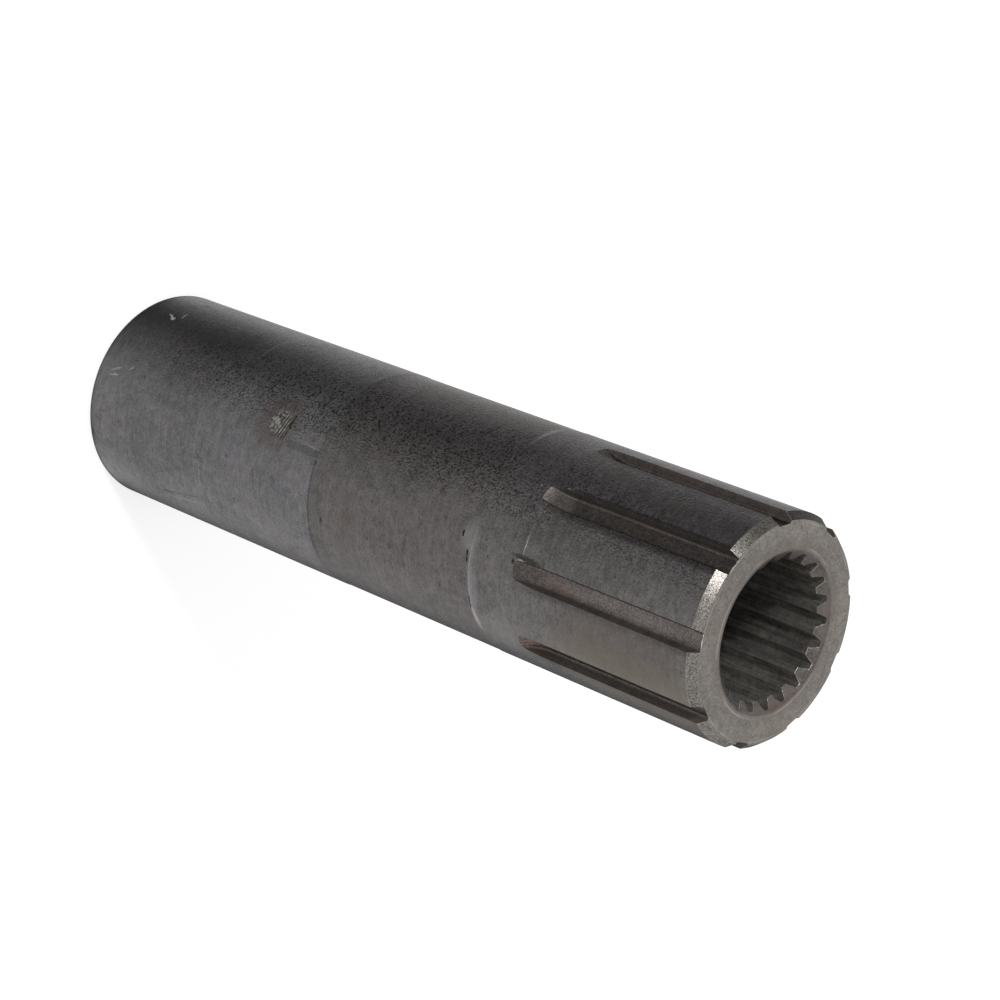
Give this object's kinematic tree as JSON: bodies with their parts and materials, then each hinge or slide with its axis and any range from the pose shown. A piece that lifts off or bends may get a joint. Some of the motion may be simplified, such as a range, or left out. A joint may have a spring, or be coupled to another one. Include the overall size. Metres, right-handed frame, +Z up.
{
  "type": "splined sleeve",
  "caption": "Long turned steel sleeve with straight milled grooves outside one end and an involute spline in its bore.",
  "frame": {"origin": "centre of the plain back face, on which the sleeve stands", "axes": "+Z up along the sleeve's axis towards the splined end, +X through the middle of one outer groove"},
  "size_m": [0.053, 0.053, 0.2026],
  "materials": {
    "steel": "turned steel, dull and warm grey, with wear, small pits and a little rust"
  },
  "bodies": {
    "root": {"splined_sleeve": "steel"}
  },
  "joints": []
}
